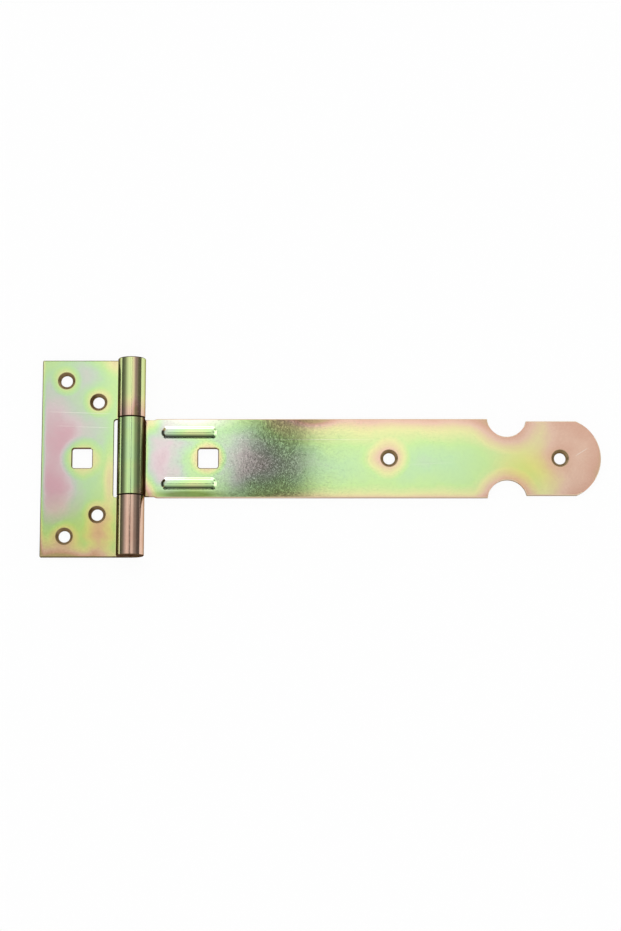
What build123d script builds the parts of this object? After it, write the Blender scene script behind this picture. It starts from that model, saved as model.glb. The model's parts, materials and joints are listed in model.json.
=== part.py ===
"""Tee hinge of pressed steel sheet: a leaf for the door frame, a long strap for the door, and their pin.

The hinge lies open on its back. The back of both sheets is the plane Z = 0 and their front faces +Z.
The pin runs along Y above the origin, the strap reaches out along +X and the leaf along -X.
Sizes are in millimetres. A reach is a distance along X from the pin's axis.
"""

import os
from math import acos, degrees, sqrt

from build123d import *

# Sheet and pin
sheet_thickness = 3.0
edge_break = 0.4
pin_diameter = 8.0
pin_clearance = 0.05

# Knuckles, rolled forward round the pin until the sheet's end meets its own front face
seam_gap = 0.3
knuckle_gap = 0.5
knuckle_edge_break = 0.15
slot_clearance = 2.25
slot_corner_radius = 1.5

# Peened pin ends, flush in the countersunk mouths of the leaf's knuckles
peen_depth = 1.0
peen_dome = 0.3

# Screw holes and square carriage bolt holes
screw_hole_diameter = 6.0
countersink_diameter = 8.8
countersink_angle = 90.0
bolt_square = 10.2
bolt_corner_radius = 1.2

# Leaf for the door frame, with its screw holes measured from its edges
leaf_reach = 46.0
leaf_height = 101.4
leaf_corner_radius = 0.6
leaf_bolt_reach = 25.2
outer_screw_side_inset = 12.3
outer_screw_end_inset = 10.6
inner_screw_reach = 17.2
inner_screw_end_inset = 21.7

# Strap for the door
strap_reach = 238.8
strap_width = 40.6
strap_bolt_reach = 38.9
screw_spacing = 87.0

# Shoulders, where the strap narrows to its knuckle
neck_relief = 0.6
neck_clearance = 4.2
shoulder_run = 1.6

# Pressed ribs, raised on the front and grooved on the back
rib_reach = 29.3
rib_spacing = 26.4
rib_length = 27.8
rib_width = 5.8
rib_height = 1.8
rib_foot_radius = 0.8
groove_width = 3.6
groove_length = 26.0

# Rounded tip, with a half-round notch in each edge behind it
tip_inset = 1.2
tip_swell = 1.7
notch_radius = 10.0
notch_depth = 9.2
notch_setback = 27.0

# Barrel: the pin's axis lies one barrel radius above the back of the sheet
bore_radius = pin_diameter / 2 + pin_clearance
barrel_radius = bore_radius + sheet_thickness
axis_height = barrel_radius
roll_sweep = 360 - degrees(acos((bore_radius - seam_gap) / barrel_radius))
rim = min(edge_break, sheet_thickness / 3)
knuckle_rim = min(knuckle_edge_break, sheet_thickness / 3)
peen_radius = pin_diameter / 2 + peen_depth - peen_dome

# Widths along the pin
neck_width = strap_width - 2 * neck_relief
slot_length = neck_width + 2 * knuckle_gap
leaf_knuckle_length = (leaf_height - slot_length) / 2
leaf_knuckle_offset = (leaf_height - leaf_knuckle_length) / 2

# Places along the leaf and the strap
slot_reach = barrel_radius + slot_clearance
outer_screw_reach = leaf_reach - outer_screw_side_inset
outer_screw_offset = leaf_height / 2 - outer_screw_end_inset
inner_screw_offset = leaf_height / 2 - inner_screw_end_inset
neck_reach = barrel_radius + neck_clearance
shoulder_reach = neck_reach + shoulder_run
tip_half_width = strap_width / 2 - tip_inset
tip_radius = tip_half_width + tip_swell
tip_screw_reach = strap_reach - tip_radius
middle_screw_reach = tip_screw_reach - screw_spacing
notch_reach = tip_screw_reach - notch_setback
notch_floor = strap_width / 2 - notch_depth


def chord_half(radius, distance):
    """Half the chord that a circle cuts from a straight line at this distance from its centre."""
    return sqrt(radius**2 - distance**2)


def bead_radius(width, height):
    """Radius of the round bead that stands this high and this wide above a flat face."""
    return ((width / 2) ** 2 + height**2) / (2 * height)


def in_slot(edge):
    """True for the edges round the leaf's slot."""
    return edge.center().X > -slot_reach - rim / 2 and abs(edge.center().Y) < slot_length / 2 + rim / 2


def on_neck(edge):
    """True for the side edges of the strap's neck."""
    return edge.center().X < neck_reach - rim


def sheet_edges():
    """Edges of the sheet's two faces, without the cut ends where the roll begins."""
    return faces().filter_by(Axis.Z).edges().filter_by(lambda edge: abs(edge.center().X) > rim / 2)


def break_sheet_edges(beside_knuckle):
    """Chamfer the sheet's edges, with a smaller break where they meet the split of the barrel."""
    chamfer(sheet_edges().filter_by(lambda edge: not beside_knuckle(edge)), rim)
    chamfer(sheet_edges().filter_by(beside_knuckle), knuckle_rim)


def screw_holes(*places):
    """Drill through the sheet at these places, countersunk from the front."""
    with Locations(*[(x, y, sheet_thickness) for x, y in places]):
        CounterSinkHole(
            radius=screw_hole_diameter / 2,
            counter_sink_radius=countersink_diameter / 2,
            depth=sheet_thickness,
            counter_sink_angle=countersink_angle,
        )


def bead(length, width, height):
    """Turn a round-ended bar along X, sunk until its top stands this high and wide above Z = 0."""
    radius = bead_radius(width, height)
    centre_height = height - radius
    with BuildSketch(Plane.XY.offset(centre_height)) as half_bar:
        SlotCenterToCenter(length - width, 2 * radius)
        split(bisect_by=Plane.XZ)
    revolve(half_bar.sketch, axis=Axis((0, 0, centre_height), (1, 0, 0)))


# The leaf is a flat blank with a slot for the strap, then its two tongues are rolled to knuckles
with BuildPart() as frame_leaf:
    with BuildSketch():
        with Locations((-leaf_reach / 2, 0)):
            Rectangle(leaf_reach, leaf_height)
        with Locations((-slot_reach / 2, 0)):
            Rectangle(slot_reach, slot_length, mode=Mode.SUBTRACT)
        fillet(vertices().group_by(Axis.X)[0], leaf_corner_radius)
        fillet(vertices().filter_by_position(Axis.X, -slot_reach, -slot_reach), slot_corner_radius)
        with Locations((-leaf_bolt_reach, 0)):
            RectangleRounded(bolt_square, bolt_square, bolt_corner_radius, mode=Mode.SUBTRACT)
    extrude(amount=sheet_thickness)
    break_sheet_edges(in_slot)
    with BuildSketch(Plane.YZ):
        with Locations(
            (leaf_knuckle_offset, sheet_thickness / 2),
            (-leaf_knuckle_offset, sheet_thickness / 2),
        ):
            Rectangle(leaf_knuckle_length, sheet_thickness)
        outer_low, inner_low, inner_high, outer_high = vertices().group_by(Axis.X)
        chamfer(outer_low + outer_high, rim)
        chamfer(inner_low + inner_high, knuckle_rim)
    revolve(axis=Axis((0, 0, axis_height), (0, -1, 0)), revolution_arc=roll_sweep)
    with BuildSketch(Plane.YZ):
        with BuildLine():
            Polyline(
                (leaf_height / 2, axis_height),
                (leaf_height / 2, axis_height + bore_radius + peen_depth),
                (leaf_height / 2 - bore_radius - peen_depth, axis_height),
                close=True,
            )
        make_face()
        mirror(about=Plane.YZ)
    revolve(axis=Axis((0, 0, axis_height), (0, 1, 0)), mode=Mode.SUBTRACT)
    for side in (1, -1):
        screw_holes(
            (-outer_screw_reach, side * outer_screw_offset),
            (-inner_screw_reach, side * inner_screw_offset),
        )
frame_leaf.part.label = "frame_leaf"

# Crown and groove of one pressed rib, as the two halves of the tool that forms it
with BuildPart() as rib_crown:
    bead(rib_length, rib_width, rib_height)
    split(bisect_by=Plane.XY, keep=Keep.TOP)

with BuildPart() as rib_groove:
    bead(groove_length, groove_width, rib_height)

# The strap is one blank from its knuckle to its tip
with BuildPart() as strap:
    with BuildSketch():
        with BuildLine():
            shoulder = Polyline(
                (0, 0),
                (0, neck_width / 2),
                (neck_reach, neck_width / 2),
                (shoulder_reach, strap_width / 2),
                (notch_reach - chord_half(notch_radius, notch_radius - notch_depth), strap_width / 2),
            )
            notch = ThreePointArc(
                shoulder @ 1,
                (notch_reach, notch_floor),
                (
                    notch_reach + chord_half(notch_radius, notch_radius - notch_depth + tip_inset),
                    tip_half_width,
                ),
            )
            tip_edge = Line(
                notch @ 1,
                (tip_screw_reach + chord_half(tip_radius, tip_half_width), tip_half_width),
            )
            tip = RadiusArc(tip_edge @ 1, (strap_reach, 0), tip_radius)
            Line(tip @ 1, (0, 0))
        make_face()
        mirror(about=Plane.XZ)
        with Locations((strap_bolt_reach, 0)):
            RectangleRounded(bolt_square, bolt_square, bolt_corner_radius, mode=Mode.SUBTRACT)
    extrude(amount=sheet_thickness)
    break_sheet_edges(on_neck)
    with BuildSketch(Plane.YZ):
        with Locations((0, sheet_thickness / 2)):
            Rectangle(neck_width, sheet_thickness)
        chamfer(vertices(), knuckle_rim)
    revolve(axis=Axis((0, 0, axis_height), (0, 1, 0)), revolution_arc=roll_sweep)
    with Locations(
        (rib_reach, rib_spacing / 2, sheet_thickness),
        (rib_reach, -rib_spacing / 2, sheet_thickness),
    ):
        add(rib_crown.part)
    rib_feet = edges(Select.LAST).filter_by_position(Axis.Z, sheet_thickness, sheet_thickness)
    fillet(rib_feet, rib_foot_radius)
    with Locations((rib_reach, rib_spacing / 2, 0), (rib_reach, -rib_spacing / 2, 0)):
        add(rib_groove.part, mode=Mode.SUBTRACT)
    groove_rims = edges(Select.LAST).filter_by_position(Axis.Z, 0, 0)
    chamfer(groove_rims, rim)
    screw_holes((middle_screw_reach, 0), (tip_screw_reach, 0))
strap.part.label = "strap"

# The pin is turned, and both its ends flare into the mouths of the leaf's knuckles
with BuildPart() as hinge_pin:
    with BuildSketch(Plane.YZ):
        with BuildLine():
            shank = Polyline(
                (leaf_height / 2, axis_height),
                (0, axis_height),
                (0, axis_height + pin_diameter / 2),
                (leaf_height / 2 - peen_depth, axis_height + pin_diameter / 2),
                (leaf_height / 2 - peen_dome, axis_height + peen_radius),
            )
            RadiusArc(shank @ 1, shank @ 0, bead_radius(2 * peen_radius, peen_dome))
        make_face()
    revolve(axis=Axis((0, 0, axis_height), (0, 1, 0)))
    mirror(about=Plane.XZ)
hinge_pin.part.label = "hinge_pin"

os.makedirs("parts", exist_ok=True)
for piece in (frame_leaf, strap, hinge_pin):
    export_step(piece.part, f"parts/{piece.part.label}.step")
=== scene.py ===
"""Tee hinge in yellow passivated zinc plate, lying open on a white table in a light tent.

Lengths are in millimetres, except those of the stage and the camera, which are in metres.
"""

import json
from math import cos, radians, sin

import bmesh
import bpy
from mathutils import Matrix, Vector

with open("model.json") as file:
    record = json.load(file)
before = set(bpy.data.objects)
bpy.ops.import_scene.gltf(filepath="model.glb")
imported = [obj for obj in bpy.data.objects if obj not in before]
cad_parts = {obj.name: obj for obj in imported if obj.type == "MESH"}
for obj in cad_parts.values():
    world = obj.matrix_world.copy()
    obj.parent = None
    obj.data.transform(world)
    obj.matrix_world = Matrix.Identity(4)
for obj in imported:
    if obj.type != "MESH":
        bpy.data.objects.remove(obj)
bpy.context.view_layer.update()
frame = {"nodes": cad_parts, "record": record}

MM = 0.001


def linear(hex_colour):
    """An sRGB hex colour as linear red, green, blue and alpha."""
    parts = [int(hex_colour[at : at + 2], 16) / 255 for at in (1, 3, 5)]
    return [c / 12.92 if c <= 0.04045 else ((c + 0.055) / 1.055) ** 2.4 for c in parts] + [1.0]


def node(tree, kind, inputs=None, **settings):
    """Add a node with its settings. An input is a value, or the node or socket that feeds it."""
    made = tree.nodes.new("ShaderNode" + kind)
    for name, value in settings.items():
        setattr(made, name, value)
    for key, value in (inputs or {}).items():
        if isinstance(value, bpy.types.Node):
            value = value.outputs[0]
        if isinstance(value, bpy.types.NodeSocket):
            tree.links.new(value, made.inputs[key])
        else:
            made.inputs[key].default_value = value
    return made


def empty_material(name):
    """A new material and its node tree, with nothing in it yet."""
    material = bpy.data.materials.new(name)
    material.use_nodes = True
    material.node_tree.nodes.clear()
    return material, material.node_tree


# Places of the holes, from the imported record
mounts = {mount["name"]: mount for mount in frame["record"]["mounts"]}


def hole_places(*names):
    """Centres in the plane of the sheet of the holes that these mounts name."""
    places = set()
    for name in names:
        x, y, _ = (along / MM for along in mounts[name]["pos_m"])
        half_x = mounts[name]["dims"].get("spacing_x_mm", 0) / 2
        half_y = mounts[name]["dims"].get("spacing_y_mm", 0) / 2
        places |= {(x - half_x, y - half_y), (x + half_x, y + half_y)}
    return sorted(places)


SCREW_HOLES = hole_places("leaf_outer_screws", "leaf_inner_screws", "strap_screws")
BOLT_HOLES = hole_places("leaf_bolt_hole", "strap_bolt_hole")
SCREW_RIM = 4.4
BOLT_RIM = 5.2

# Heights of the sheet's middle, of its front face, and just below and above that face
SHEET_MIDDLE = 1.5
SHEET_FRONT = 3.0
BELOW_FRONT = 2.98
ABOVE_FRONT = 3.1

# Distances from the pin along X: where the roll ends, the flat begins, and the sheared edges begin
ROLL_END = 6.6
FLAT_START = 8.4
SHEARED_START = 9.0

# Colours of the chromate film, from its thinnest at the rims to its thickest
FILM_COLOURS = [
    (0.00, "#c4ae82"),
    (0.07, "#ddb19b"),
    (0.14, "#e9c6b0"),
    (0.22, "#e9d8aa"),
    (0.32, "#e8e7a8"),
    (0.46, "#cbeaa2"),
    (0.58, "#c3e5b0"),
    (0.70, "#ccd8c6"),
    (0.82, "#dfcfd0"),
    (1.00, "#deb2bc"),
]

# Film of the plain leaf and of the pin
LEAF_FILM = 0.48
PIN_FILM = 0.25

# Patches where the film is thicker or thinner: centre x, y, reach x, y, and film gained or lost.
# Patches inside a sheet have uneven outlines. Those at its edges and on the knuckles have even ones.
LEAF_PATCHES = [
    (-36, 22, 34, 30, 0.21),
    (-22, 44, 18, 14, 0.22),
    (-44, 0, 28, 60, 0.27),
    (-37, -18, 25, 24, 0.24),
    (-39, -2, 16, 30, 0.11),
    (-24, 8, 24, 24, 0.16),
    (-16.5, -40, 10, 16, -0.34),
]
LEAF_EDGE_PATCHES = [
    (-48, 0, 6, 70, -0.14),
    (-46.6, 0, 3.4, 90, -0.46),
    (-42, -58, 30, 26, -0.58),
    (-20, -55, 34, 11, -0.44),
    (-8, 52, 18, 13, -0.26),
    (-11, -12, 5, 26, -0.24),
]
STRAP_PATCHES = [
    (15, 0, 25, 40, 0.40),
    (55, 0, 26, 32, 0.27),
    (78, -4, 30, 22, 0.16),
    (104, -6, 22, 14, 0.10),
    (152, -4, 34, 15, 0.10),
    (202, -6, 16, 12, 0.04),
    (210, -14, 18, 13, 0.09),
]
STRAP_EDGE_PATCHES = [
    (12, -21, 10, 10, -0.30),
    (8.5, -18, 5, 9.5, -0.28),
    (10.5, 19, 7, 10, -0.32),
    (9.8, -12, 5.5, 8, -0.16),
    (29.5, -1.5, 8.5, 12, -0.17),
    (27, 12.2, 20, 4.6, -0.22),
    (27, -14.2, 20, 4.6, -0.22),
    (92, 20, 18, 7, -0.18),
    (123, 0, 8, 8, -0.16),
]
KNUCKLE_PATCHES = [
    (2.6, 45, 2.8, 55, -0.24),
    (-6, -42, 4.6, 55, 0.22),
]

# A patch goes right through the sheet, so its reach in depth is without bound
ANY_DEPTH = 1e4

# Rims where the film thins: centre, radius, the radius where it is full again, and what is left of it
LEAF_RIMS = [
    *((hole, SCREW_RIM, 8.6, 0.55) for hole in hole_places("leaf_outer_screws", "leaf_inner_screws")),
    *((hole, BOLT_RIM, 12, 0.4) for hole in hole_places("leaf_bolt_hole")),
]
NOTCH_RIM = 10
STRAP_RIMS = [
    ((191, 21), NOTCH_RIM, 19.5, 0.3),
    ((191, -21), NOTCH_RIM, 17, 0.3),
    *((hole, SCREW_RIM, 11.5, left) for hole, left in zip(hole_places("strap_screws"), (0.3, 0.8))),
    *((hole, BOLT_RIM + 0.4, 10, 0.3) for hole in hole_places("strap_bolt_hole")),
]

# Film along the strap from its knuckle to its tip: x, film
STRAP_FILM = [
    (-10, 0.42), (0.2, 0.41), (1.6, 0.34), (2.8, 0.26), (5, 0.18), (6.8, 0.14), (8.5, 0.34), (12, 0.44),
    (20, 0.48), (60, 0.48), (120, 0.48), (165, 0.48), (190, 0.36), (204, 0.29), (218, 0.13), (232, 0.09),
    (240, 0.0),
]

# Film lost across the strap towards its long edges: y, film. And the share of it along x.
EDGE_LOSS = [
    (-20.3, 0.36), (-19, 0.22), (-17, 0.11), (-13, 0.03), (-8, 0.0), (4, 0.0), (8.6, 0.07), (13.8, 0.16),
    (18.4, 0.33), (20.3, 0.38),
]
EDGE_SHARE = [(-10, 0.0), (50, 0.1), (90, 0.9), (170, 1.0), (195, 0.5), (210, 0.15), (240, 0.1)]

# Film along the leaf's knuckles: y, film
KNUCKLE_FILM = [(-51, 0.10), (-20, 0.12), (20, 0.10), (26, 0.2), (33, 0.36), (51, 0.40)]

# Patches of colour over the film, by colour and blend: centre x, y, reach x, y, and share. Yellow ones tint
# the film yellow. On the strap an olive one is painted shade and a near-white one is a painted highlight.
LEAF_STAINS = [("#fffcd2", "MULTIPLY", [(-22, -37, 60, 24, 0.95), (-25, 0, 80, 90, 0.1)])]
STRAP_STAINS_AND_PAINTED_LIGHT = [
    ("#fffcd2", "MULTIPLY", [(202, -6, 24, 17, 0.95)]),
    # Painted shade: olive along the strap's lower edge below its lower rib
    ("#aeb088", "MULTIPLY", [(29, -18.8, 27, 3.6, 1.4)]),
    # Painted highlight: near white along the strap's upper edge above its upper rib
    ("#fcf9ec", "MIX", [(31, 21.5, 28, 9, 1.3)]),
]

# Fine handling scratches: centre x, y, length, turn in degrees, and how bright
LEAF_SCRATCHES = [(-27, 23.5, 36, -2, 0.5), (-20, 16, 20, -2, 0.35), (-34, 16.6, 10, -1, 0.25)]
STRAP_SCRATCHES = [(86, 9.7, 80, 0, 0.35), (229, 3.2, 8, 32, 0.5), (150, -3, 30, 3, 0.12)]
SCRATCH_WIDTH = 0.4
SCRATCH_COLOUR = "#f6f2e6"

# Painted shade of the holes in brown, from their darker upper sides to their lighter lower ones, by how far
# a wall faces +Y. A screw hole's shade begins outside its rim and is full inside it. A bolt hole's is on the
# walls this near it.
HOLE_SHADE_COLOURS = ("#705a3a", "#bca680")
HOLE_SHADE_SLOPES = (-1.0, 0.4)
BROWN_START = SCREW_RIM + 0.3
BROWN_FULL = SCREW_RIM - 0.1
BOLT_NEAR = 9.0

# Painted shade in brown in the split beside the knuckles, and the ranges of x over which their flanks turn to
# it
SPLIT_SHADE_COLOUR = "#5c4733"
LEFT_FLANK_SHADE = (-5.0, -6.6)
RIGHT_FLANK_SHADE = (4.6, 6.4)

# Colour of the plate at grazing angles
GRAZING_TINT = "#948468"

# Grain of the rolled steel, about 0.2 mm across, drawn at 0.45 mm so that it shows
GRAIN_SIZE = 0.45
GRAIN_TILT = 0.035
GRAIN_FILM = 0.03

# Soft mottle of the film, and the waver that makes the outlines of its patches uneven
MOTTLE_SIZE = 20
MOTTLE_FILM = 0.16
WAVER_SIZE = 13
WAVER_REACH = 16.0

# Roughness of the plate from grain to grain, and of its worn edges
PLATE_ROUGHNESS = (0.08, 0.19)
WORN_ROUGHNESS = 0.35

# A face is steep where its normal leans out this far, and a wall, not a broken edge, in this range
STEEP = 0.6
WALL_RANGE = (0.72, 0.8)


def profile(tree, along, points):
    """A smooth curve through these points of distance and level."""
    first, last = points[0][0], points[-1][0]
    share = node(tree, "MapRange", {"Value": along, "From Min": first, "From Max": last})
    curve = node(tree, "FloatCurve", {"Value": share})
    ends = curve.mapping.curves[0].points
    ends[0].location = (0, points[0][1])
    ends[1].location = (1, points[-1][1])
    for at, level in points[1:-1]:
        ends.new((at - first) / (last - first), level)
    curve.mapping.update()
    return curve


def light_profile(tree, along, points, peak):
    """A smooth curve of light. A curve holds levels up to one, so it is scaled by this peak."""
    share = profile(tree, along, [(at, light / peak) for at, light in points])
    return node(tree, "Math", {0: share, 1: peak}, operation="MULTIPLY")


def patch(tree, place, film, x, y, reach_x, reach_y, gain):
    """Add a soft patch of thicker or thinner film."""
    local = node(tree, "Mapping",
                 {"Vector": place, "Location": (x, y, 0), "Scale": (reach_x, reach_y, ANY_DEPTH)},
                 vector_type="TEXTURE")
    away = node(tree, "VectorMath", {0: local}, operation="LENGTH").outputs["Value"]
    share = node(tree, "MapRange", {"Value": away, "To Min": gain, "To Max": 0},
                 interpolation_type="SMOOTHSTEP")
    return node(tree, "Math", {0: film, 1: share}, operation="ADD")


def thin_at_rim(tree, place, film, centre, rim, reach, left):
    """Thin the film towards a rim, from its full value at this reach to what is left of it."""
    away = node(tree, "VectorMath", {0: place, 1: (*centre, SHEET_MIDDLE)}, operation="DISTANCE")
    away = away.outputs["Value"]
    share = node(tree, "MapRange", {"Value": away, "From Min": rim, "From Max": reach, "To Min": left})
    return node(tree, "Math", {0: film, 1: share}, operation="MULTIPLY")


def leaf_film(tree, place, uneven, apart):
    """Film of the leaf: pink on its outer side, green inside, tan at its lower end and at its holes."""
    film = LEAF_FILM
    for spot in LEAF_PATCHES:
        film = patch(tree, uneven, film, *spot)
    for spot in LEAF_EDGE_PATCHES:
        film = patch(tree, place, film, *spot)
    for rim in LEAF_RIMS:
        film = thin_at_rim(tree, place, film, *rim)
    rolled = node(tree, "MapRange",
                  {"Value": apart.outputs["X"], "From Min": -FLAT_START, "From Max": -ROLL_END},
                  interpolation_type="SMOOTHSTEP")
    knuckle = profile(tree, apart.outputs["Y"], KNUCKLE_FILM)
    for spot in KNUCKLE_PATCHES:
        knuckle = patch(tree, place, knuckle, *spot)
    return node(tree, "Mix", {"Factor": rolled, "A": film, "B": knuckle})


def strap_film(tree, place, uneven, apart):
    """Film of the strap: pink by the ribs, green along its middle, salmon at its edges and its tip."""
    film = profile(tree, apart.outputs["X"], STRAP_FILM)
    for spot in STRAP_PATCHES:
        film = patch(tree, uneven, film, *spot)
    for spot in STRAP_EDGE_PATCHES:
        film = patch(tree, place, film, *spot)
    loss = node(tree, "Math", {0: profile(tree, apart.outputs["Y"], EDGE_LOSS),
                               1: profile(tree, apart.outputs["X"], EDGE_SHARE)}, operation="MULTIPLY")
    film = node(tree, "Math", {0: film, 1: loss}, operation="SUBTRACT")
    for rim in STRAP_RIMS:
        film = thin_at_rim(tree, place, film, *rim)
    return film


def pin_film(tree, place, uneven, apart):
    """Film of the pin: thin and the same all over."""
    return PIN_FILM


def grainy_normal(tree, grain):
    """The surface's normal, tilted a little from grain to grain, and most in a few of them."""
    tilt = node(tree, "VectorMath", {0: grain, 1: (0.5, 0.5, 0.5)}, operation="SUBTRACT")
    square = node(tree, "VectorMath", {0: tilt, 1: tilt}, operation="MULTIPLY")
    tilt = node(tree, "VectorMath", {0: tilt, 1: square}, operation="MULTIPLY")
    tilt = node(tree, "VectorMath", {0: tilt, "Scale": GRAIN_TILT}, operation="SCALE")
    facing = node(tree, "NewGeometry").outputs["Normal"]
    facing = node(tree, "VectorMath", {0: facing, 1: tilt}, operation="ADD")
    return node(tree, "VectorMath", {0: facing}, operation="NORMALIZE")


def film_colour(tree, place, apart, grain, film_of):
    """Colour of the film, with its soft mottle and the grain's own slight change of colour."""
    waver = node(tree, "TexNoise", {"Vector": place, "Scale": 1 / WAVER_SIZE, "Detail": 2.0}).outputs["Color"]
    waver = node(tree, "VectorMath", {0: waver, 1: (0.5, 0.5, 0.5)}, operation="SUBTRACT")
    waver = node(tree, "VectorMath", {0: waver, "Scale": WAVER_REACH}, operation="SCALE")
    uneven = node(tree, "VectorMath", {0: place, 1: waver}, operation="ADD")
    film = film_of(tree, place, uneven, apart)
    mottle = node(tree, "TexNoise", {"Vector": place, "Scale": 1 / MOTTLE_SIZE, "Detail": 3.0})
    film = node(tree, "Math", {0: mottle, 1: MOTTLE_FILM, 2: film}, operation="MULTIPLY_ADD")
    film = node(tree, "Math", {0: grain, 1: GRAIN_FILM, 2: film}, operation="MULTIPLY_ADD")
    film = node(tree, "Math", {0: film, 1: (MOTTLE_FILM + GRAIN_FILM) / 2}, operation="SUBTRACT")
    colour = node(tree, "ValToRGB", {"Fac": film})
    stops = colour.color_ramp.elements
    for at, _ in FILM_COLOURS[2:]:
        stops.new(at)
    for stop, (at, hex_colour) in zip(stops, FILM_COLOURS):
        stop.position = at
        stop.color = linear(hex_colour)
    return colour


def coloured_patches(tree, place, from_pin, colour, stains_and_painted_light):
    """Lay soft patches of colour over the flat sheet: yellowing, and on the strap a painted shade and a
    painted highlight.
    """
    flat = node(tree, "MapRange", {"Value": from_pin, "From Min": ROLL_END, "From Max": FLAT_START})
    for patch_colour, blend, patches in stains_and_painted_light:
        share = 0.0
        for spot in patches:
            share = patch(tree, place, share, *spot)
        share = node(tree, "Math", {0: share, 1: flat}, operation="MULTIPLY", use_clamp=True)
        colour = node(tree, "MixRGB", {"Fac": share, "Color1": colour, "Color2": linear(patch_colour)},
                      blend_type=blend)
    return colour


def scratched(tree, place, colour, scratches):
    """Draw fine scratches."""
    for x, y, length, turn, bright in scratches:
        local = node(tree, "Mapping",
                     {"Vector": place, "Location": (x, y, 0), "Rotation": (0, 0, radians(turn)),
                      "Scale": (length / 2, SCRATCH_WIDTH / 2, ANY_DEPTH)}, vector_type="TEXTURE")
        away = node(tree, "VectorMath", {0: local}, operation="ABSOLUTE")
        away = node(tree, "SeparateXYZ", {"Vector": away})
        away = node(tree, "Math", {0: away.outputs["X"], 1: away.outputs["Y"]}, operation="MAXIMUM")
        share = node(tree, "MapRange", {"Value": away, "From Min": 1, "From Max": 0.5, "To Max": bright})
        colour = node(tree, "MixRGB", {"Fac": share, "Color1": colour, "Color2": linear(SCRATCH_COLOUR)})
    return colour


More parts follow.
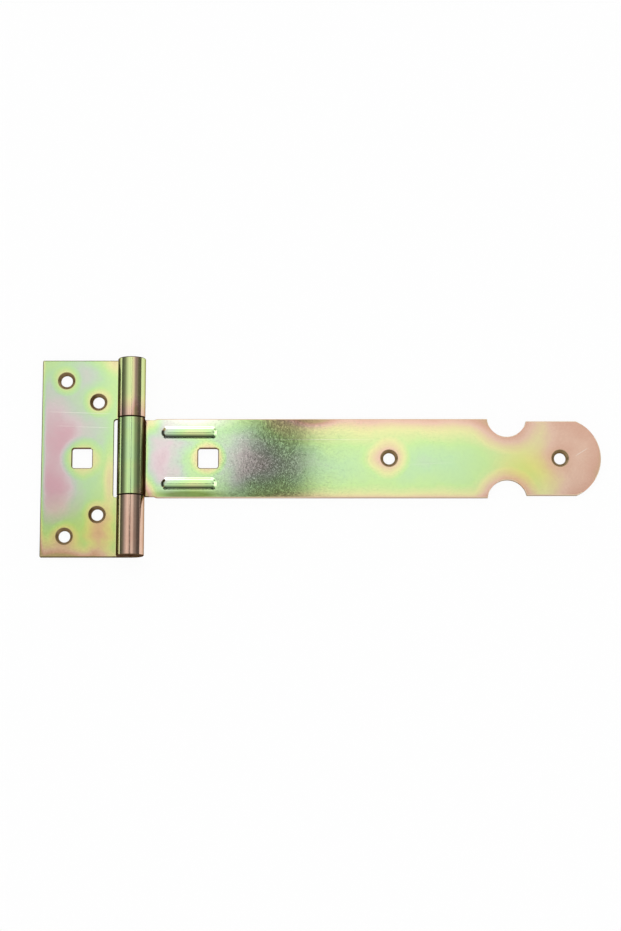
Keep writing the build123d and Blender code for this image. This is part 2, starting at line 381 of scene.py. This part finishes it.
def passivated_zinc(name, film_of, scratches, stains_and_painted_light, rim_colour, wall_colour, flanks):
    """Yellow passivated zinc plate on rolled and punched sheet.

    A thin chromate film over bright zinc gives soft bands of salmon, yellow, green, grey and pink.
    The grain of the rolled steel sparkles where a reflection turns dark. The sheared edges are rougher
    and tan, and on the leaf darker as painted shade. The punched holes and the split beside the knuckles
    are painted shade in brown, darkest on the holes' upper walls. Flanks are the ranges of x where a
    knuckle's side is painted brown as shade.
    """
    material, tree = empty_material(name)
    coordinates = node(tree, "TexCoord")
    place = node(tree, "VectorMath", {0: coordinates.outputs["Object"], "Scale": 1 / MM}, operation="SCALE")
    apart = node(tree, "SeparateXYZ", {"Vector": place})
    from_pin = node(tree, "Math", {0: apart.outputs["X"]}, operation="ABSOLUTE")
    grain = node(tree, "TexVoronoi", {"Vector": place, "Scale": 1 / GRAIN_SIZE}).outputs["Color"]

    colour = film_colour(tree, place, apart, grain, film_of)
    colour = coloured_patches(tree, place, from_pin, colour, stains_and_painted_light)
    colour = scratched(tree, place, colour, scratches)

    # Sheared edges: the walls and broken edges of the flat sheet, below its front face
    normal = coordinates.outputs["Normal"]
    turned = node(tree, "VectorMath", {0: normal}, operation="ABSOLUTE")
    turned = node(tree, "SeparateXYZ", {"Vector": turned})
    steepness = node(tree, "Math", {0: turned.outputs["X"], 1: turned.outputs["Y"]}, operation="MAXIMUM")
    steep = node(tree, "Math", {0: steepness, 1: STEEP}, operation="GREATER_THAN")
    below = node(tree, "Math", {0: apart.outputs["Z"], 1: BELOW_FRONT}, operation="LESS_THAN")
    flat = node(tree, "Math", {0: from_pin, 1: SHEARED_START}, operation="GREATER_THAN")
    sheared = node(tree, "Math", {0: steep, 1: below}, operation="MULTIPLY")
    sheared = node(tree, "Math", {0: sheared, 1: flat}, operation="MULTIPLY")
    wall = node(tree, "MapRange", {"Value": steepness, "From Min": WALL_RANGE[0], "From Max": WALL_RANGE[1]})
    edge = node(tree, "MixRGB", {"Fac": wall, "Color1": linear(rim_colour), "Color2": linear(wall_colour)})
    colour = node(tree, "MixRGB", {"Fac": sheared, "Color1": colour, "Color2": edge})

    # Painted shade in the holes: brown, lighter on their lower sides
    brown = 0.0
    for centre in SCREW_HOLES:
        away = node(tree, "VectorMath", {0: place, 1: (*centre, SHEET_FRONT)}, operation="DISTANCE")
        away = away.outputs["Value"]
        hole = node(tree, "MapRange", {"Value": away, "From Min": BROWN_START, "From Max": BROWN_FULL})
        brown = node(tree, "Math", {0: brown, 1: hole}, operation="MAXIMUM")
    for centre in BOLT_HOLES:
        away = node(tree, "VectorMath", {0: place, 1: (*centre, SHEET_MIDDLE)}, operation="DISTANCE")
        away = away.outputs["Value"]
        near = node(tree, "Math", {0: away, 1: BOLT_NEAR}, operation="LESS_THAN")
        hole = node(tree, "Math", {0: near, 1: sheared}, operation="MULTIPLY")
        brown = node(tree, "Math", {0: brown, 1: hole}, operation="MAXIMUM")
    slope = node(tree, "SeparateXYZ", {"Vector": normal}).outputs["Y"]
    slope = node(tree, "MapRange", {"Value": slope, "From Min": HOLE_SHADE_SLOPES[0], "From Max": HOLE_SHADE_SLOPES[1]})
    upper, lower = (linear(side) for side in HOLE_SHADE_COLOURS)
    hole_shade_colour = node(tree, "MixRGB", {"Fac": slope, "Color1": upper, "Color2": lower})
    colour = node(tree, "MixRGB", {"Fac": brown, "Color1": colour, "Color2": hole_shade_colour})

    # Painted shade in brown in the split: the ends of the knuckles, and their flanks above the sheet
    end = node(tree, "Math", {0: turned.outputs["Y"], 1: STEEP}, operation="GREATER_THAN")
    split = node(tree, "Math", {0: end, 1: flat}, operation="SUBTRACT", use_clamp=True)
    raised = node(tree, "Math", {0: apart.outputs["Z"], 1: ABOVE_FRONT}, operation="GREATER_THAN")
    for start, stop in flanks:
        flank = node(tree, "MapRange", {"Value": apart.outputs["X"], "From Min": start, "From Max": stop})
        flank = node(tree, "Math", {0: flank, 1: raised}, operation="MULTIPLY")
        split = node(tree, "Math", {0: split, 1: flank}, operation="MAXIMUM")
    split = node(tree, "Math", {0: split, 1: flat}, operation="SUBTRACT", use_clamp=True)
    colour = node(tree, "MixRGB", {"Fac": split, "Color1": colour, "Color2": linear(SPLIT_SHADE_COLOUR)})

    worn = node(tree, "Math", {0: sheared, 1: brown}, operation="MAXIMUM")
    worn = node(tree, "Math", {0: worn, 1: split}, operation="MAXIMUM")
    sparkle = node(tree, "Math", {0: grain, 1: 3.0}, operation="POWER")
    rough = node(tree, "MapRange",
                 {"Value": sparkle, "To Min": PLATE_ROUGHNESS[0], "To Max": PLATE_ROUGHNESS[1]})
    rough = node(tree, "Mix", {"Factor": worn, "A": rough, "B": WORN_ROUGHNESS})
    shader = node(tree, "BsdfPrincipled",
                  {"Base Color": colour, "Metallic": 1.0, "Roughness": rough,
                   "Normal": grainy_normal(tree, grain), "Specular Tint": linear(GRAZING_TINT)})
    node(tree, "OutputMaterial", {"Surface": shader})
    return material


finishes = {
    # The leaf's rim and wall colours are darker than the strap's as painted shade
    "frame_leaf": ("leaf_zinc", leaf_film, LEAF_SCRATCHES, LEAF_STAINS, "#6a6344", "#94806c", [LEFT_FLANK_SHADE]),
    "strap": ("strap_zinc", strap_film, STRAP_SCRATCHES, STRAP_STAINS_AND_PAINTED_LIGHT, "#e6cdb0", "#cdb5a2",
              [LEFT_FLANK_SHADE, RIGHT_FLANK_SHADE]),
    "hinge_pin": ("pin_zinc", pin_film, [], [], "#94806c", "#94806c", []),
}
for piece, (slot, *finish) in finishes.items():
    sheet = frame["nodes"][piece].data
    sheet.materials.clear()
    sheet.materials.append(passivated_zinc(slot, *finish))


# White table and light tent
def matt(name, hex_colour, clear=0.0):
    """Matt card or cloth. Where it is clear, the camera and reflections see the white tent through it."""
    material, tree = empty_material(name)
    shader = node(tree, "BsdfDiffuse", {"Color": linear(hex_colour)})
    if clear:
        ray = node(tree, "LightPath")
        seen = node(tree, "Math", {0: ray.outputs["Is Camera Ray"], 1: ray.outputs["Is Glossy Ray"]},
                    operation="MAXIMUM")
        seen = node(tree, "Math", {0: seen, 1: ray.outputs["Is Transmission Ray"]}, operation="MAXIMUM")
        share = node(tree, "Math", {0: seen, 1: clear}, operation="MULTIPLY")
        share = node(tree, "Math", {0: share, 1: node(tree, "NewGeometry").outputs["Backfacing"]},
                     operation="MAXIMUM")
        shader = node(tree, "MixShader", {"Fac": share, 1: shader, 2: node(tree, "BsdfTransparent")})
    node(tree, "OutputMaterial", {"Surface": shader})
    return material


def card(name, material, corners):
    """A flat stage piece through these corners, given in metres."""
    mesh = bpy.data.meshes.new(name)
    bm = bmesh.new()
    bm.faces.new([bm.verts.new(corner) for corner in corners])
    bm.to_mesh(mesh)
    bm.free()
    mesh.materials.append(material)
    piece = bpy.data.objects.new(name, mesh)
    bpy.context.scene.collection.objects.link(piece)
    return piece


# The table lies just below the hinge, and reaches past every view of it
TABLE = [(-12, -12), (12, -12), (12, 12), (-12, 12)]
TABLE_HEIGHT = -0.0003
white_cloth = matt("white_cloth", "#ffffff", clear=0.94)
card("table", white_cloth, [(x, y, TABLE_HEIGHT) for x, y in TABLE])

# A grey flap overhead, between two soft boxes, which the strap reflects as a dark band, and a narrow
# grey strip beside it, which the lower knuckle reflects as a dark line
OVERHEAD_HEIGHT = 1.1
FLAP = [
    (0.02, -0.25), (0.09, -0.25), (0.088, 0.09), (0.088, 0.16), (0.088, 0.221), (0.085, 0.36),
    (0.055, 0.36), (0.033, 0.221), (0.014, 0.16), (-0.01, 0.125), (-0.01, 0.08),
]
SEAM = [(-0.07, 0.05), (-0.015, 0.05), (-0.015, 0.13), (-0.07, 0.13)]
grey_cloth = matt("grey_cloth", "#6b6863")
for name, outline in (("overhead_gap", FLAP), ("overhead_seam", SEAM)):
    overhead = card(name, grey_cloth, [(x, y, OVERHEAD_HEIGHT) for x, y in outline])
    overhead.visible_camera = False

# Small reflector cards by the ribs, which only reflections see, only from their fronts and only this near
REFLECTOR_RANGE = 12
REFLECTOR_PEAK = 3.0


def reflector(name, corners, levels):
    """A small card whose light goes by height. Corners and heights are in millimetres."""
    material, tree = empty_material(name)
    place = node(tree, "VectorMath", {0: node(tree, "TexCoord").outputs["Object"], "Scale": 1 / MM},
                 operation="SCALE")
    apart = node(tree, "SeparateXYZ", {"Vector": place})
    level = light_profile(tree, apart.outputs["Z"], levels, REFLECTOR_PEAK)
    light = node(tree, "Emission", {"Color": linear("#ffffff"), "Strength": level})
    far = node(tree, "Math", {0: node(tree, "LightPath").outputs["Ray Length"], 1: REFLECTOR_RANGE * MM},
               operation="GREATER_THAN")
    hidden = node(tree, "Math", {0: far, 1: node(tree, "NewGeometry").outputs["Backfacing"]},
                  operation="MAXIMUM")
    light = node(tree, "MixShader", {"Fac": hidden, 1: light, 2: node(tree, "BsdfTransparent")})
    node(tree, "OutputMaterial", {"Surface": light})
    piece = card(name, material, [[along * MM for along in corner] for corner in corners])
    piece.visible_camera = False
    piece.visible_diffuse = False
    piece.visible_shadow = False


def along_rib(left, right, foot_y, foot_z, head_y, head_z):
    """Corners of a card along X, which faces -Y. Given from right to left it faces +Y."""
    return [(left, foot_y, foot_z), (right, foot_y, foot_z), (right, head_y, head_z), (left, head_y, head_z)]


def across_rib(foot_x, head_x, first_y, last_y, foot_z, head_z):
    """Corners of a card across a rib's end, which faces +X. Given from high to low Y it faces -X."""
    foot = [(foot_x, first_y, foot_z), (foot_x, last_y, foot_z)]
    head = [(head_x, last_y, head_z), (head_x, first_y, head_z)]
    return foot + head


# Light of the cards by height: bright above each rib, softer at its right end and at its foot, and a
# shade below it and at its left end, which is darkest near the plate
RIB_BRIGHT = [(3, 2.4), (6, 2.4)]
RIB_SOFT = [(3, 2.0), (6, 2.0)]
RIB_SHADE = [(3.3, 0.06), (4.5, 0.12), (5.1, 0.24), (5.8, 0.40), (7.0, 0.64), (8.0, 0.78), (11.1, 0.93)]
for name, rib in (("upper_rib", 13.2), ("lower_rib", -13.2)):
    reflector(name + "_light", along_rib(16, 43, rib + 4.0, 3.1, rib + 4.4, 5.1), RIB_BRIGHT)
    reflector(name + "_end_light", across_rib(46, 46, rib + 4, rib - 2.5, 3.1, 6), RIB_SOFT)
    reflector(name + "_shade", along_rib(44, 15, rib - 3.25, 3.3, rib - 1.9, 11.1), RIB_SHADE)
    reflector(name + "_end_shade", across_rib(13.2, 12.4, rib - 2.5, rib + 2.5, 3.5, 11.1), RIB_SHADE)
    reflector(name + "_foot_light", along_rib(43, 16, rib - 3.3, 3.1, rib - 3.25, 3.3), RIB_SOFT)

# Light of the tent by direction. A band across it falls off to both sides (x), and from front to back (y)
# it goes from dim to bright.
SIDE_LIGHT = [
    (-1.0, 0.08), (-0.96, 0.10), (-0.908, 0.15), (-0.827, 0.22), (-0.733, 0.38), (-0.634, 0.58),
    (-0.508, 0.79), (-0.385, 0.95), (-0.25, 1.0), (-0.19, 0.9), (-0.14, 0.75), (-0.118, 0.80),
    (-0.1, 0.91), (-0.088, 0.94), (-0.072, 1.14), (-0.03, 1.2), (0.0, 1.14), (0.03, 1.12), (0.06, 1.08),
    (0.07, 1.02), (0.078, 0.94), (0.088, 0.85), (0.1, 0.85), (0.11, 0.9), (0.12, 0.95), (0.13, 0.9),
    (0.18, 0.89), (0.32, 0.88), (0.45, 0.66), (0.58, 0.36), (0.75, 0.28), (0.89, 0.12), (1.0, 0.12),
]
DEPTH_LIGHT = [
    (-1.0, 0.85), (-0.5, 0.88), (-0.3, 0.88), (-0.1, 0.84), (0.0, 0.81), (0.06, 0.78), (0.1, 0.74),
    (0.127, 0.74), (0.14, 0.78), (0.146, 0.84), (0.151, 0.95), (0.158, 1.0), (0.165, 1.0), (0.21, 1.065),
    (1.0, 1.065),
]
TENT_PEAK = 2.0
OUTER_LIGHT = 0.97
BAND_MIDDLE = 0.168

world = bpy.data.worlds.new("light_tent")
bpy.context.scene.world = world
world.use_nodes = True
tree = world.node_tree
tree.nodes.clear()
toward = node(tree, "SeparateXYZ", {"Vector": node(tree, "TexCoord").outputs["Generated"]})

# The light from front to back counts in the middle of the tent
aside = node(tree, "Math", {0: toward.outputs["X"]}, operation="ABSOLUTE")
middle = node(tree, "MapRange", {"Value": aside, "From Min": 0.35, "From Max": 0.15},
              interpolation_type="SMOOTHSTEP")
depth = light_profile(tree, toward.outputs["Y"], DEPTH_LIGHT, TENT_PEAK)
level = node(tree, "Mix", {"Factor": middle, "A": OUTER_LIGHT, "B": depth})

# The light from side to side counts in the band
off_band = node(tree, "Math", {0: toward.outputs["Y"], 1: BAND_MIDDLE}, operation="SUBTRACT")
off_band = node(tree, "Math", {0: off_band}, operation="ABSOLUTE")
band = node(tree, "MapRange", {"Value": off_band, "From Min": 0.2, "From Max": 0.1},
            interpolation_type="SMOOTHSTEP")
across = light_profile(tree, toward.outputs["X"], SIDE_LIGHT, TENT_PEAK)
across = node(tree, "Mix", {"Factor": band, "A": 1.0, "B": across})
level = node(tree, "Math", {0: level, 1: across}, operation="MULTIPLY")

# Below the horizon the tent is plain white
above = node(tree, "MapRange", {"Value": toward.outputs["Z"], "From Min": 0.0, "From Max": 0.04},
             interpolation_type="SMOOTHSTEP")
level = node(tree, "Mix", {"Factor": above, "A": 1.0, "B": level})
tent = node(tree, "Background", {"Color": linear("#ffffff"), "Strength": level})
node(tree, "OutputWorld", {"Surface": tent})

# Camera at the photograph's angle
CAMERA_TARGET = Vector((91, -3.8, 3)) * MM
CAMERA_ELEVATION = radians(80.5)
CAMERA_DISTANCE = 1.19
back = Vector((0, -cos(CAMERA_ELEVATION), sin(CAMERA_ELEVATION)))
lens = bpy.data.cameras.new("camera")
lens.sensor_width = 36
lens.lens = 90.5
camera = bpy.data.objects.new("camera", lens)
camera.location = CAMERA_TARGET + back * CAMERA_DISTANCE
camera.rotation_euler = (-back).to_track_quat("-Z", "Y").to_euler()
bpy.context.scene.collection.objects.link(camera)
bpy.context.scene.camera = camera

bpy.context.scene.view_settings.view_transform = "Standard"
